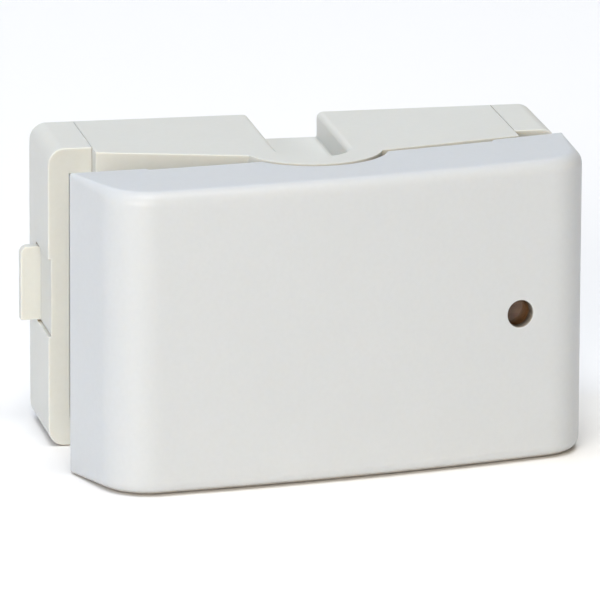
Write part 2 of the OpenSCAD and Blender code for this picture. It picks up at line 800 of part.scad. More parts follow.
module status_led() {
    color([0.75, 0.10, 0.08]) on_board(led_pos) {
        translate([0, 0, 0.4]) cylinder(r = 1.9, h = 1);
        translate([0, 0, 0.4]) cylinder(r = 1.5, h = 3.4);
        translate([0, 0, 3.8]) sphere(r = 1.5);
        for (x = [-1.27, 1.27]) lead(x*0.8, 0, 1);
    }
}

module axial_part(body_r, body_len, span) {
    rise = body_r + 0.2;
    translate([-body_len/2, 0, rise]) rotate([0, 90, 0]) cylinder(r = body_r, h = body_len);
    translate([-span/2, 0, rise]) rotate([0, 90, 0]) cylinder(r = lead_r, h = span);
    for (sx = [-1, 1]) translate([sx*span/2, 0, 0]) {
        lead(0, 0, rise);
        translate([0, 0, rise]) sphere(r = lead_r);
    }
}

module resistors() {
    color([0.78, 0.66, 0.45]) for (i = [0:resistor_rows - 1])
        on_board([resistor_pos[0], resistor_pos[1] - i*resistor_pitch]) axial_part(1.15, 6, 9);
}

module diodes() {
    color(plastic_black) for (i = [0:1])
        on_board([diode_pos[0] + i*diode_pitch, diode_pos[1]]) rotate([0, 0, 90]) axial_part(1.2, 4.6, 8);
}

module transistor() {
    color(plastic_black) on_board(transistor_pos) {
        difference() {
            translate([0, 0, 1.6]) cylinder(r = 2.3, h = 4.6);
            translate([-3, -4.2, 1]) cube([6, 3, 6]);
        }
        for (x = [-1.27, 0, 1.27]) lead(x, 0, 2);
    }
}

module mode_jumper() {
    color(plastic_black) on_board(jumper_pos) {
        for (x = [-1.27, 1.27]) lead(x, 0, 6);
        translate([-2.5, -1.2, 0]) cube([5, 2.4, 2.4]);
        translate([-2.4, -1.1, 2.4 - eps]) cube([4.8, 2.2, 5]);
    }
}

module sensor_tube() {
    tube_len = tube_front - board_front;
    color(plastic_black) on_board([port_u, 0]) difference() {
        translate([0, 0, running_gap]) cylinder(r = tube_out_r, h = tube_len - running_gap);
        translate([0, 0, -1]) cylinder(r = tube_in_r, h = tube_len + 2);
        translate([0, 0, tube_len - filter_t - 0.1]) cylinder(r = filter_r, h = filter_t + 1);
    }
}

module light_filter() {
    tube_len = tube_front - board_front;
    color([0.38, 0.26, 0.16]) on_board([port_u, 0]) translate([0, 0, tube_len - filter_t - 0.05])
        cylinder(r = filter_r - 0.05, h = filter_t);
}

module photocell() {
    color([0.55, 0.30, 0.18]) on_board([port_u, 0]) {
        translate([0, 0, cell_rise]) cylinder(r = cell_r, h = cell_t);
        for (x = [-1.3, 1.3]) lead(x, 0, cell_rise + 0.5);
    }
}

wall_bracket();
wall_seal();
cable_grommet();
swivel_carrier();
left_latch();
right_latch();
upper_pivot_pin();
lower_pivot_pin();
upper_wave_washer();
lower_wave_washer();
head_shell();
head_chassis();
head_seal();
cover_screws();
circuit_board();
board_screws();
terminal_block();
terminal_screws();
relay();
smoothing_capacitor();
surge_suppressor();
voltage_regulator();
controller_chip();
crystal();
sensitivity_trimmer();
trimmer_dial();
status_led();
resistors();
diodes();
transistor();
mode_jumper();
sensor_tube();
light_filter();
photocell();
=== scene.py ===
import math

import bmesh
import bpy
from mathutils import Matrix, Vector


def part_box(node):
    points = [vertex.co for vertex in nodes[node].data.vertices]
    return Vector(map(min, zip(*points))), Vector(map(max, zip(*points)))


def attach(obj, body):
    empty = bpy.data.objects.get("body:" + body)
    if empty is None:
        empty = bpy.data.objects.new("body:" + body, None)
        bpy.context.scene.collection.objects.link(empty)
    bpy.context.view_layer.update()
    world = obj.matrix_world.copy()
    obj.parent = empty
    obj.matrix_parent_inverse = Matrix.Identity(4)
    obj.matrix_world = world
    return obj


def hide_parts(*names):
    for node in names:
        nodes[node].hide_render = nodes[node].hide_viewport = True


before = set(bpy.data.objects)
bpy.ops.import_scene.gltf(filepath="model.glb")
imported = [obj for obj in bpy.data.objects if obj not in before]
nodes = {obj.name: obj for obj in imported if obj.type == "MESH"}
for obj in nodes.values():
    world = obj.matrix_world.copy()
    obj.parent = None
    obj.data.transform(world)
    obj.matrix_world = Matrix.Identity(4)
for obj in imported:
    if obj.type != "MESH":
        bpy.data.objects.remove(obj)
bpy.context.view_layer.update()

MM = 0.001
scene = bpy.context.scene


# ---------- measures in millimetres; the first block is shared with the CAD source ----------

PIVOT_DEPTH = 30.5        # depth of the vertical pivot axis
HEAD_ANGLE = 9.8          # degrees that the head is turned to
HALF_H = 30.0             # half height of the head
WALL = 2.2                # wall thickness of the head cover
HEAD_BACK_W, HEAD_FRONT_W = 103.0, 97.4
HEAD_FRONT_V, HEAD_BACK_V = 27.6, 6.45   # front and rear of the head, from the pivot axis
BOW_R = 510.0             # bow of the front and of the rear edge
CORNER_R = 10.0           # upright front corners
FRONT_EDGE_R, REAR_EDGE_R, INNER_EDGE_R = 2.6, 0.6, 0.8
ROUND_FROM, ROUND_TO = 4.0, 20.0         # the edge radius grows between these distances
RELIEF_U = 36.0           # half width of the relief in the rear edge
PORT_R, PORT_U = 2.7, 33.7               # light port
POST_U, POST_V = 40.0, 13.4              # cover screws
SCREW_SINK_R, SCREW_SINK, SCREW_HOLE_R = 2.75, 1.2, 1.4
LIP_R = 14.0              # round lips of the carrier
RETURN_X, SEAM = 42.3, 0.2               # inner end of the end walls' returns; seam beside them
CARRIER_X = RETURN_X - SEAM
RIM_X, RIM_Z = 47.1, 25.6                # inner faces of the end walls and of their returns
LATCH_HALF, LATCH_SEAM = 7.6, 0.3        # half height of a latch lever; seam above and below it

CUT_R = 15.0              # clearance round the lips, 0.2 wider than in the CAD source
RELIEF_T = 1.0            # depth of the relief, 0.3 more than in the CAD source
SEEN_SEAM = 0.07          # what is left of the two seams to see
RIM_SHIFT, RETURN_DROP = 0.3, 0.8        # the fronts of RIM_X and RIM_Z come this much closer
SAME = 0.01               # places that differ by less are the same
PORT_CELL = 4.6           # half side of the flat cell round the light port
SIDE_STEPS, CORNER_STEPS, ROUND_STEPS, FILLET_STEPS = 10, 20, 10, 6
PORT_STEPS, WELL_STEPS = 48, 40

FRONT_C, BACK_C = HEAD_FRONT_V - BOW_R, HEAD_BACK_V - BOW_R


def head_point(u, v, z):
    """A point of the head's own frame, in the row frame, in metres."""
    a = math.radians(HEAD_ANGLE)
    x, y = u*math.cos(a) + v*math.sin(a), u*math.sin(a) - v*math.cos(a)
    return Vector((x, y - PIVOT_DEPTH, z))*MM


# ---------- head cover ----------

def side_line():
    """Tilt of the head's sides, direction where the corner ends, and the corner's centre."""
    back_half, front_half = HEAD_BACK_W/2, HEAD_FRONT_W/2
    front_v = FRONT_C + math.sqrt(BOW_R**2 - front_half**2)
    back_v = BACK_C + math.sqrt(BOW_R**2 - back_half**2)
    tilt = math.atan2(back_half - front_half, front_v - back_v)
    reach = BOW_R - CORNER_R
    side_c = front_half*math.cos(tilt) + front_v*math.sin(tilt) - CORNER_R
    last = tilt + math.acos((side_c - FRONT_C*math.sin(tilt))/reach)
    centre = (reach*math.cos(last), FRONT_C + reach*math.sin(last))
    return tilt, last, centre


TILT, LAST, CORNER = side_line()
SIDE_OUT = (math.cos(TILT), math.sin(TILT))
SIDE_END = (CORNER[0] + CORNER_R*SIDE_OUT[0], CORNER[1] + CORNER_R*SIDE_OUT[1])


def edge_radius(v, rear_r, front_r):
    """Radius of the upper and lower edges at distance v from the pivot axis."""
    share = min(1, max(0, (v - ROUND_FROM)/(ROUND_TO - ROUND_FROM)))
    return rear_r + (front_r - rear_r)*share


def rear_start(inset):
    """Point where the side, moved inwards by inset, meets the bowed rear edge."""
    t = 15.0
    for _ in range(20):
        u = SIDE_END[0] + t*math.sin(TILT) - inset*SIDE_OUT[0]
        v = SIDE_END[1] - t*math.cos(TILT) - inset*SIDE_OUT[1]
        t += (v - BACK_C - math.sqrt(BOW_R**2 - u*u))/math.cos(TILT)
    return u, v


def right_columns():
    """Outline points in front of the rear edge, on the right: (u, v, out u, out v)."""
    start = rear_start(0)
    found = []
    for i in range(1, SIDE_STEPS):
        f = (i/SIDE_STEPS)**1.3              # closer together towards the rear
        found.append((start[0] + (SIDE_END[0] - start[0])*f,
                      start[1] + (SIDE_END[1] - start[1])*f, *SIDE_OUT))
    for i in range(CORNER_STEPS + 1):
        a = TILT + (LAST - TILT)*i/CORNER_STEPS
        found.append((CORNER[0] + CORNER_R*math.cos(a), CORNER[1] + CORNER_R*math.sin(a),
                      math.cos(a), math.sin(a)))
    port_side = [math.acos((PORT_U + s)/BOW_R) for s in (PORT_CELL, -PORT_CELL)]
    rest = [math.acos(u/BOW_R) for u in (25, 20, 15, 10, 5, 0)]
    for a in port_side + rest:
        found.append((BOW_R*math.cos(a), FRONT_C + BOW_R*math.sin(a), math.cos(a), math.sin(a)))
    return found


RIGHT = right_columns()
COLUMNS = RIGHT + [(-u, v, -ou, ov) for u, v, ou, ov in reversed(RIGHT[:-1])]
# from bottom to top: (lower edge -1, side 0 or upper edge 1, turn in degrees, height on the side)
LEVELS = ([(-1, 90*(1 - k/ROUND_STEPS), None) for k in range(ROUND_STEPS + 1)]
          + [(0, 0, z) for z in (-18, -PORT_CELL, PORT_CELL, 18)]
          + [(1, 90*k/ROUND_STEPS, None) for k in range(ROUND_STEPS + 1)])


def ring_point(u, v, ou, ov, level, inset, rear_r, front_r):
    """Point and normal of a skin inset from the outline point (u, v), at a level."""
    side, turn, z = level
    r = edge_radius(v, rear_r, front_r)
    if side == 0:
        return (u - ou*inset, v - ov*inset, z), (ou, ov, 0)
    c, s = math.cos(math.radians(turn)), math.sin(math.radians(turn))
    d = inset + r*(1 - c)
    return (u - ou*d, v - ov*d, side*(HALF_H - inset - r*(1 - s))), (ou*c, ov*c, side*s)


def filleted(path):
    """Points of a 2-D path of (point, corner radius), with its corners rounded."""
    points = []
    for i, (p, r) in enumerate(path):
        if not r:
            points.append(Vector(p))
            continue
        before, after = Vector(path[i - 1][0]), Vector(path[i + 1][0])
        p = Vector(p)
        d1, d2 = (p - before).normalized(), (after - p).normalized()
        turn = abs(d1.angle_signed(d2))
        way = 1 if d1.x*d2.y - d1.y*d2.x > 0 else -1
        reach = r*math.tan(turn/2)
        centre = p - d1*reach + Vector((-d1.y, d1.x))*way*r
        start = p - d1*reach - centre
        for k in range(FILLET_STEPS + 1):
            a = way*turn*k/FILLET_STEPS
            points.append(centre + Vector((start.x*math.cos(a) - start.y*math.sin(a),
                                           start.x*math.sin(a) + start.y*math.cos(a))))
    return points


def rear_path(u_end, v_end):
    """Plan of the top's rear edge, from right to left, with the directions out of the material."""
    def back(u, shift=0.0):
        return (u, BACK_C + shift + math.sqrt(BOW_R**2 - u*u))

    # the angle where the clearance round the lips meets the relief, by repeated correction
    meet = math.asin((HEAD_BACK_V + RELIEF_T)/CUT_R)
    for _ in range(9):
        meet = math.asin(back(CUT_R*math.cos(meet), RELIEF_T)[1]/CUT_R)
    right = [((u_end, v_end), 0)] + [(back(u), 0) for u in (47, 44, 41, 38)]
    right += [(back(RELIEF_U), 0.3), (back(RELIEF_U, RELIEF_T), 0.3)]
    right += [(back(u, RELIEF_T), 0) for u in (33, 29, 25, 21, 17, 15)]
    right += [((CUT_R*math.cos(meet), CUT_R*math.sin(meet)), 0.9)]
    arc = [meet + (math.pi/2 - meet)*f for f in [0.06] + [k/16 for k in range(2, 17)]]
    right += [((CUT_R*math.cos(a), CUT_R*math.sin(a)), 0) for a in arc]
    path = right + [((-p[0], p[1]), r) for p, r in reversed(right[:-1])]
    points = filleted(path)
    outs = []
    for i in range(len(points)):
        d = points[min(i + 1, len(points) - 1)] - points[max(i - 1, 0)]
        outs.append(Vector((-d.y, d.x)).normalized())
    return points, outs


def add_ring(bm, points):
    return [bm.verts.new(p) for p in points]


def bridge(bm, a, b, closed=True):
    """Faces between two rows of as many vertices."""
    n = len(a)
    for i in range(n if closed else n - 1):
        j = (i + 1) % n
        bm.faces.new((a[i], a[j], b[j], b[i]))


def fill(bm, loops):
    """Fills a flat or nearly flat region between closed loops."""
    edges = []
    for loop in loops:
        for i, v in enumerate(loop):
            w = loop[(i + 1) % len(loop)]
            edges.append(bm.edges.get((v, w)) or bm.edges.new((v, w)))
    bmesh.ops.triangle_fill(bm, edges=edges, use_beauty=True)


def well_ring(side, r, z):
    """Ring of points round a screw well, side -1 or 1, level at z."""
    return [head_point(side*POST_U + r*math.cos(a), POST_V + r*math.sin(a), z)
            for a in (math.tau*k/WELL_STEPS for k in range(WELL_STEPS))]


def make_cover():
    """Outer and inner skin, the rear edge between them, the light port and the screw wells."""
    bm = bmesh.new()
    bevel, inner_bevel, steps = 0.35, 0.2, 4     # roundings of the rear edge
    rim_r, sink_r = 0.2, 0.25                    # roundings of the port and of the screw wells
    top = len(LEVELS) - 1

    def flat_path(inset, rear_r):
        start = rear_start(inset + rear_r)
        return rear_path(*start)

    outer_path, outs = flat_path(0, REAR_EDGE_R)
    inner_path, _ = flat_path(WALL, INNER_EDGE_R)
    rear_dir = Vector((math.sin(TILT), -math.cos(TILT), 0))

    def side_entries(sign):
        """Rear ends of the side: outer point and normal, inner point and normal, way out."""
        found = []
        for j in range(1, top):
            row = []
            for inset, rear_r in ((0, REAR_EDGE_R), (WALL, INNER_EDGE_R)):
                turn = LEVELS[j][1]
                d = inset + (rear_r*(1 - math.cos(math.radians(turn))) if LEVELS[j][0] else 0)
                u, v = rear_start(d)
                _, n = ring_point(u, v, *SIDE_OUT, LEVELS[j], inset, rear_r, rear_r)
                z = (LEVELS[j][0]*(HALF_H - inset - rear_r*(1 - math.sin(math.radians(turn))))
                     if LEVELS[j][0] else LEVELS[j][2])
                row += [Vector((sign*u, v, z)), Vector((sign*n[0], n[1], n[2]))]
            w = abs(row[1].z)
            out = outs[0]*w + rear_dir.xy*(1 - w)
            row.append(Vector((sign*out.x, out.y, 0)).normalized())
            found.append(row)
        return found

    loop = []
    for z in (1, -1):
        flat = [[Vector((p.x, p.y, z*HALF_H)), Vector((0, 0, z)),
                 Vector((q.x, q.y, z*(HALF_H - WALL))), Vector((0, 0, z)), Vector((o.x, o.y, 0))]
                for p, q, o in zip(outer_path, inner_path, outs)]
        side = side_entries(-1 if z > 0 else 1)
        if z > 0:
            loop += flat + side[::-1]
        else:
            loop += flat[::-1] + side
    m, s = len(outer_path), top - 1
    turns = [math.radians(90*k/steps) for k in range(steps + 1)]
    rows = []
    for t in turns:
        rows.append([o - bevel*(n + r) + bevel*(math.cos(t)*n + math.sin(t)*r)
                     for o, n, _, _, r in loop])
    for t in turns:
        rows.append([i + inner_bevel*(k - r) + inner_bevel*(math.cos(t)*r - math.sin(t)*k)
                     for _, _, i, k, r in loop])
    rings = [add_ring(bm, [head_point(*p) for p in row]) for row in rows]
    for a, b in zip(rings, rings[1:]):
        bridge(bm, a, b)

    def skin(edge_ring, inset, rear_r, front_r, well_r):
        def rear(j, left):
            if j == top:
                return edge_ring[m - 1 if left else 0]
            if j == 0:
                return edge_ring[m + s if left else 2*m + s - 1]
            return edge_ring[m + (top - 1 - j)] if left else edge_ring[2*m + s + j - 1]
        grid = [[rear(j, False) for j in range(top + 1)]]
        for c in COLUMNS:
            grid.append(add_ring(bm, [head_point(*ring_point(*c, level, inset, rear_r, front_r)[0])
                                      for level in LEVELS]))
        grid.append([rear(j, True) for j in range(top + 1)])
        port_face = None
        for i in range(len(grid) - 1):
            for j in range(top):
                quad = (grid[i][j], grid[i + 1][j], grid[i + 1][j + 1], grid[i][j + 1])
                if i == port_column and LEVELS[j][2] == -PORT_CELL:
                    port_face = quad
                else:
                    bm.faces.new(quad)
        fill(bm, [edge_ring[:m] + [g[top] for g in reversed(grid[1:-1])]])
        low = edge_ring[m + s:2*m + s] + [g[0] for g in grid[1:-1]]
        wells = [add_ring(bm, well_ring(side, well_r, inset - HALF_H)) for side in (-1, 1)]
        fill(bm, [low] + wells)
        return port_face, wells

    # the cell that holds the light port starts at this column
    port_column = 1 + [round(abs(c[0]), 3) for c in RIGHT].index(round(PORT_U + PORT_CELL, 3))
    outer_port, outer_wells = skin(rings[0], 0, REAR_EDGE_R, FRONT_EDGE_R, SCREW_SINK_R + sink_r)
    inner_port, inner_wells = skin(rings[-1], WALL, INNER_EDGE_R, INNER_EDGE_R, SCREW_HOLE_R)

    def port_ring(r, depth, inset=0.0):
        """Ring of radius r round the port's axis, on the bowed front or its inner face."""
        found = []
        for k in range(PORT_STEPS):
            a = math.tau*k/PORT_STEPS
            u, z = PORT_U + r*math.cos(a), r*math.sin(a)
            v = FRONT_C + math.sqrt((BOW_R - inset)**2 - u*u)
            found.append(head_point(u, v - depth, z))
        return found

    port = []
    for t in turns:
        port.append(add_ring(bm, port_ring(PORT_R + rim_r*(1 - math.sin(t)),
                                           rim_r*(1 - math.cos(t)))))
    port.append(add_ring(bm, port_ring(PORT_R, 0, WALL)))
    for a, b in zip(port, port[1:]):
        bridge(bm, a, b)
    fill(bm, [outer_port, port[0]])
    fill(bm, [inner_port, port[-1]])
    profile = [(SCREW_SINK_R + sink_r*(1 - math.sin(t)), sink_r*(1 - math.cos(t)))
               for t in turns[1:]]
    profile += [(SCREW_SINK_R, SCREW_SINK), (SCREW_HOLE_R, SCREW_SINK)]
    for side, last, inner_well in zip((-1, 1), outer_wells, inner_wells):
        for r, depth in profile:
            ring = add_ring(bm, well_ring(side, r, depth - HALF_H))
            bridge(bm, last, ring)
            last = ring
        bridge(bm, last, inner_well)
    split_wide_faces(bm)
    o = add_object(bm, "head_cover")
    weighted = o.modifiers.new("normals", "WEIGHTED_NORMAL")
    weighted.weight, weighted.keep_sharp = 50, False
    return o


def split_wide_faces(bm):
    """Points all faces outwards and leaves no face with more than four corners."""
    bmesh.ops.recalc_face_normals(bm, faces=bm.faces)
    wide = [f for f in bm.faces if len(f.verts) > 4]
    bmesh.ops.triangulate(bm, faces=wide, ngon_method="EAR_CLIP")


def add_object(bm, name):
    """Smooth-shaded object in the scene from a bmesh, which is freed."""
    me = bpy.data.meshes.new(name)
    bm.to_mesh(me)
    bm.free()
    for p in me.polygons:
        p.use_smooth = True
    o = bpy.data.objects.new(name, me)
    scene.collection.objects.link(o)
    return o


# ---------- moulded parts that take their shape from the CAD node, with softened edges ----------

FLAT_LIMIT = math.cos(math.radians(32))   # open faces within this angle shade as one
ROUND_LIMIT, LOOSE_LIMIT = 0.6, 0.2       # the same for a rounding beside open faces, and alone
SHARP = math.radians(28)                  # edges that turn by more are rounded
FLAT = math.radians(0.2)                  # faces that turn by less become one
TINY = 2e-6                               # shorter edges are closed up; metres


def corner_normals(bm, rounded):
    """Normals of all face corners: open faces stay flat up to the edge, only the roundings turn."""
    def blend(faces, own, limit):
        total = Vector((0, 0, 0))
        for f in faces:
            if f.normal.dot(own) > limit:
                total += f.normal*f.calc_area()
        return total.normalized() if total.length > 0 else own

    found = []
    for face in bm.faces:
        for v in face.verts:
            plain = [f for f in v.link_faces if not f[rounded]]
            if not face[rounded]:
                found.append(blend(plain, face.normal, FLAT_LIMIT))
            elif any(f.normal.dot(face.normal) > ROUND_LIMIT for f in plain):
                found.append(blend(plain, face.normal, ROUND_LIMIT))
            else:
                curved = [f for f in v.link_faces if f[rounded]]
                found.append(blend(curved, face.normal, LOOSE_LIMIT))
    return found


def softened(node, name, radius, closer):
    """Copy of a CAD node whose sharp edges are rounded.

    radius gives the rounding in mm for the middle of an edge. closer gives the distance in mm that
    a vertex moves along x and z, to close a seam up to what a moulding shows.
    """
    bm = bmesh.new()
    bm.from_mesh(nodes[node].data)
    bmesh.ops.remove_doubles(bm, verts=bm.verts, dist=TINY)
    for v in bm.verts:
        dx, dz = closer(v.co/MM)
        v.co += Vector((dx, 0, dz))*MM
    bmesh.ops.dissolve_limit(bm, angle_limit=FLAT, verts=bm.verts, edges=bm.edges)
    rounded = bm.faces.layers.int.new("rounded")
    groups = {}
    for e in bm.edges:
        if len(e.link_faces) != 2 or e.calc_face_angle(0) < SHARP:
            continue
        r = radius((e.verts[0].co + e.verts[1].co)/2/MM)
        if r:
            groups.setdefault(r, []).append(e)
    for r, edges in sorted(groups.items(), reverse=True):
        edges = [e for e in edges if e.is_valid]
        made = bmesh.ops.bevel(bm, geom=edges, offset=r*MM, offset_type="OFFSET", segments=3,
                               profile=0.5, affect="EDGES", clamp_overlap=False, miter_outer="ARC")
        for f in made["faces"]:
            f[rounded] = 1
    bmesh.ops.dissolve_degenerate(bm, dist=TINY, edges=bm.edges)
    split_wide_faces(bm)
    bm.normal_update()
    bm.faces.index_update()
    normals = corner_normals(bm, rounded)
    bm.faces.layers.int.remove(rounded)
    o = add_object(bm, name)
    o.data.normals_split_custom_set(normals)
    return o


cover = make_cover()
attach(cover, "head")
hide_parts("head_shell")

SOFT, FINE, LEVER_SOFT = 0.3, 0.12, 0.25   # radii of softened edges
EDGE_FINE = 0.1                # beside a seam or the head
RECESS_EDGE = (5.5, 8.6)       # the recess has its own rounding in the CAD node between these
RECESS_END_Y = -31.0           # the recess is straight behind this and round in front of it
UPPER = 28.0                   # edges above this height belong to the top
WALL_SIDE_Y = -0.4             # nothing behind this can be seen, as the wall is there
LIP_Y, BESIDE_HEAD_X = -26.0, 12.0
WINDOW_X, WINDOW_Z = 46.0, 10.0          # the lever's window is further out and lower than this
LEVER_X = 50.2                 # the lever's outer part is softened
RIM_FRONT_Y = -20.0            # what lies in front of this comes closer to the head


def unsoftened(p, from_pivot):
    """True for edges of the carrier that are rounded already or out of sight."""
    beside = RECESS_EDGE[0] < abs(p.x) < RECESS_EDGE[1] and p.y > RECESS_END_Y
    round_end = from_pivot < RECESS_EDGE[1] and p.y <= RECESS_END_Y
    under_lips = from_pivot < LIP_R + 0.2 and abs(p.z) < UPPER and p.y < LIP_Y
    return (p.z > UPPER and (beside or round_end)) or p.y > WALL_SIDE_Y or under_lips


def carrier_radius(p):
    from_pivot = math.hypot(p.x, p.y + PIVOT_DEPTH)
    if unsoftened(p, from_pivot):
        return 0
    on_lip = LIP_R - 0.8 < from_pivot < LIP_R + 0.6
    beside_head = p.x > BESIDE_HEAD_X and p.y < LIP_Y
    beside_seam = abs(p.x) > CARRIER_X - SAME
    return EDGE_FINE if on_lip or beside_head or beside_seam else SOFT


def bracket_radius(p):
    if abs(p.x) > WINDOW_X and abs(p.z) < WINDOW_Z:
        return 0
    return FINE if abs(abs(p.x) - RETURN_X) < SAME else SOFT


def lever_radius(p):
    return LEVER_SOFT if abs(p.x) > LEVER_X else 0


def carrier_closer(p):
    """The carrier's outer sides come up to the returns."""
    if abs(abs(p.x) - CARRIER_X) < SAME:
        return math.copysign(SEAM - SEEN_SEAM, p.x), 0
    return 0, 0


def lever_closer(p):
    """The lever's ends come up to the ends of its window."""
    if abs(abs(p.z) - LATCH_HALF) < SAME:
        return 0, math.copysign(LATCH_SEAM - SEEN_SEAM, p.z)
    return 0, 0


def bracket_closer(p):
    """The front edges of the end walls and of their returns come closer to the head's rear edge."""
    dx = dz = 0
    if p.y <= RIM_FRONT_Y:
        if abs(abs(p.x) - RIM_X) < SAME and abs(p.z) > WINDOW_Z:
            dx = -math.copysign(RIM_SHIFT, p.x)
        if abs(abs(p.z) - RIM_Z) < SAME and abs(p.x) > RETURN_X - 0.1:
            dz = -math.copysign(RETURN_DROP, p.z)
    return dx, dz


carrier = softened("swivel_carrier", "carrier", carrier_radius, carrier_closer)
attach(carrier, "base")
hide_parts("swivel_carrier")
bracket = softened("wall_bracket", "bracket", bracket_radius, bracket_closer)
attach(bracket, "base")
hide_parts("wall_bracket")
for side in ("left", "right"):
    lever = softened(side + "_latch", side + "_lever", lever_radius, lever_closer)
    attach(lever, side + "_latch_lever")
    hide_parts(side + "_latch")


# ---------- materials ----------

class Finish:
    """A material under construction: a Principled shader and short ways to add nodes to it."""

    def __init__(self, name, **constants):
        self.mat = bpy.data.materials.new(name)
        self.mat.use_nodes = True
        self.tree = self.mat.node_tree
        self.shader = self.tree.nodes["Principled BSDF"]
        self.place = self.add("ShaderNodeTexCoord").outputs["Object"]
        for socket, value in constants.items():
            self.shader.inputs[socket.replace("_", " ")].default_value = value

    def add(self, kind, inputs=(), **settings):
        n = self.tree.nodes.new(kind)
        for key, value in settings.items():
            setattr(n, key, value)
        for key, value in dict(inputs).items():
            self.put(n.inputs[key], value)
        return n

    def put(self, socket, value):
        if isinstance(value, bpy.types.NodeSocket):
            self.tree.links.new(value, socket)
        elif hasattr(value, "__len__") and len(value) == 3 and socket.type == "RGBA":
            socket.default_value = (*value, 1)
        else:
            socket.default_value = value

    def noise(self, size, detail=2.0, rough=0.5, stretch=(1, 1, 1)):
        """Noise from 0 to 1 with features of about size, in mm."""
        at = self.add("ShaderNodeMapping", {"Vector": self.place, "Scale": stretch}).outputs[0]
        n = self.add("ShaderNodeTexNoise", {"Vector": at, "Scale": 1/(size*MM),
                                            "Detail": detail, "Roughness": rough})
        return n.outputs["Fac"]

    def span(self, value, low, high, to_low=0.0, to_high=1.0):
        """value from low to high becomes to_low to to_high, and stays within them."""
        n = self.add("ShaderNodeMapRange", {"Value": value, "From Min": low, "From Max": high,
                                            "To Min": to_low, "To Max": to_high})
        return n.outputs[0]

    def math(self, operation, a, b=0.0):
        return self.add("ShaderNodeMath", {0: a, 1: b}, operation=operation).outputs[0]

    def mix(self, share, a, b):
        n = self.add("ShaderNodeMix", data_type="RGBA")
        self.put(n.inputs[0], share)
        self.put(n.inputs[6], a)
        self.put(n.inputs[7], b)
        return n.outputs[2]

    def edges(self, radius=0.5):
        """1 along sharp outer and inner edges, 0 on open faces."""
        soft = self.add("ShaderNodeBevel", {"Radius": radius*MM}, samples=6).outputs[0]
        flat = self.add("ShaderNodeNewGeometry").outputs["Normal"]
        dot = self.add("ShaderNodeVectorMath", {0: soft, 1: flat}, operation="DOT_PRODUCT")
        return self.span(dot.outputs["Value"], 0.995, 0.90)

    def crevice(self, reach, deep, open_):
        """1 where other surfaces close in within reach, in mm, 0 in the open."""
        n = self.add("ShaderNodeAmbientOcclusion", {"Distance": reach*MM}, samples=6)
        return self.span(n.outputs["AO"], open_, deep)

    def done(self, colour, rough, heights=()):
        """heights: (0 to 1 pattern, depth in mm) for each layer of relief."""
        self.put(self.shader.inputs["Base Color"], colour)
        self.put(self.shader.inputs["Roughness"], rough)
        normal = None
        for height, depth in heights:
            n = self.add("ShaderNodeBump",
                         {"Height": height, "Distance": depth*MM, "Strength": 1.0})
            if normal is not None:
                self.put(n.inputs["Normal"], normal)
            normal = n.outputs[0]
        if normal is not None:
            self.put(self.shader.inputs["Normal"], normal)
        return self.mat


def shade(colour, factor):
    return tuple(min(1.0, c*factor) for c in colour)


# brown painted on the light port's wall, as its shade and as the filter's reflection
PORT_WALL_SHADE = (0.22, 0.19, 0.15)


def port_wall_shade_mask(f):
    """1 on the wall of the light port, where painted shade and a painted brown reflection of the
    filter behind it go.
    """
    a = math.radians(HEAD_ANGLE)
    shift = (PIVOT_DEPTH*math.sin(a) - PORT_U)*MM
    at = f.add("ShaderNodeMapping", {"Vector": f.place, "Rotation": (0, 0, -a),
                                     "Location": (shift, 0, 0)})
    across = f.add("ShaderNodeVectorMath", {0: at.outputs[0], 1: (1, 0, 1)}, operation="MULTIPLY")
    reach = f.add("ShaderNodeVectorMath", {0: across.outputs[0]}, operation="LENGTH")
    return f.span(reach.outputs["Value"], (PORT_R + 0.12)*MM, (PORT_R + 0.03)*MM)


def moulded(name, colour, worn, rough, grain=0.0022, cloud=14.0, contrast=0.016, port=False,
            **constants):
    """Moulded plastic: cloudy colour, fine skin, polished paler edges and painted brown shade in
    crevices and seams.

    grain is the depth of the skin and cloud the size of the colour clouds, in mm.
    """
    # darker brown copy of the colour, painted as shade in crevices and seams
    painted_crevice_shade = tuple(c*k for c, k in zip(colour, (0.62, 0.50, 0.38)))
    f = Finish(name, **constants)
    clouds = f.noise(cloud, 3.0, 0.6)
    specks = f.noise(0.9, 2.0)
    tone = f.mix(clouds, shade(colour, 1 - contrast), shade(colour, 1 + contrast))
    tone = f.mix(f.span(specks, 0.35, 0.7, 0.0, 0.5), tone, shade(colour, 1 - 2*contrast))
    wear = f.math("MULTIPLY", f.edges(), f.span(f.noise(2.5, 3.0), 0.35, 0.65, 0.25, 0.9))
    tone = f.mix(wear, tone, worn)
    # painted shade: brownish darkening where the AO mask finds crevices and seams
    tone = f.mix(f.math("MULTIPLY", f.crevice(3.0, 0.08, 0.42), 0.9), tone, painted_crevice_shade)
    # painted shade and a painted filter reflection on the light port's wall
    if port:
        tone = f.mix(f.math("MULTIPLY", port_wall_shade_mask(f), 0.8), tone, PORT_WALL_SHADE)
    handled = f.span(f.noise(22.0, 4.0, 0.65), 0.3, 0.7, rough + 0.05, rough - 0.05)
    polish = f.math("SUBTRACT", handled, f.math("MULTIPLY", wear, 0.12))
    flow = f.noise(9.0, 1.0, 0.4, (1, 1, 0.35))
    return f.done(tone, polish, [(flow, 0.006), (f.noise(0.32, 2.0, 0.55), grain)])


def rubber(name, colour):
    """Dark rubber with a pale bloom and rubbed edges."""
    f = Finish(name, Specular_IOR_Level=0.3)
    bloom = f.span(f.noise(3.0, 4.0, 0.7), 0.45, 0.75)
    tone = f.mix(f.math("MULTIPLY", bloom, 0.5), colour, shade(colour, 2.2))
    tone = f.mix(f.math("MULTIPLY", f.edges(0.3), 0.4), tone, shade(colour, 2.8))
    return f.done(tone, f.span(bloom, 0, 1, 0.72, 0.88), [(f.noise(0.25, 3.0), 0.006)])


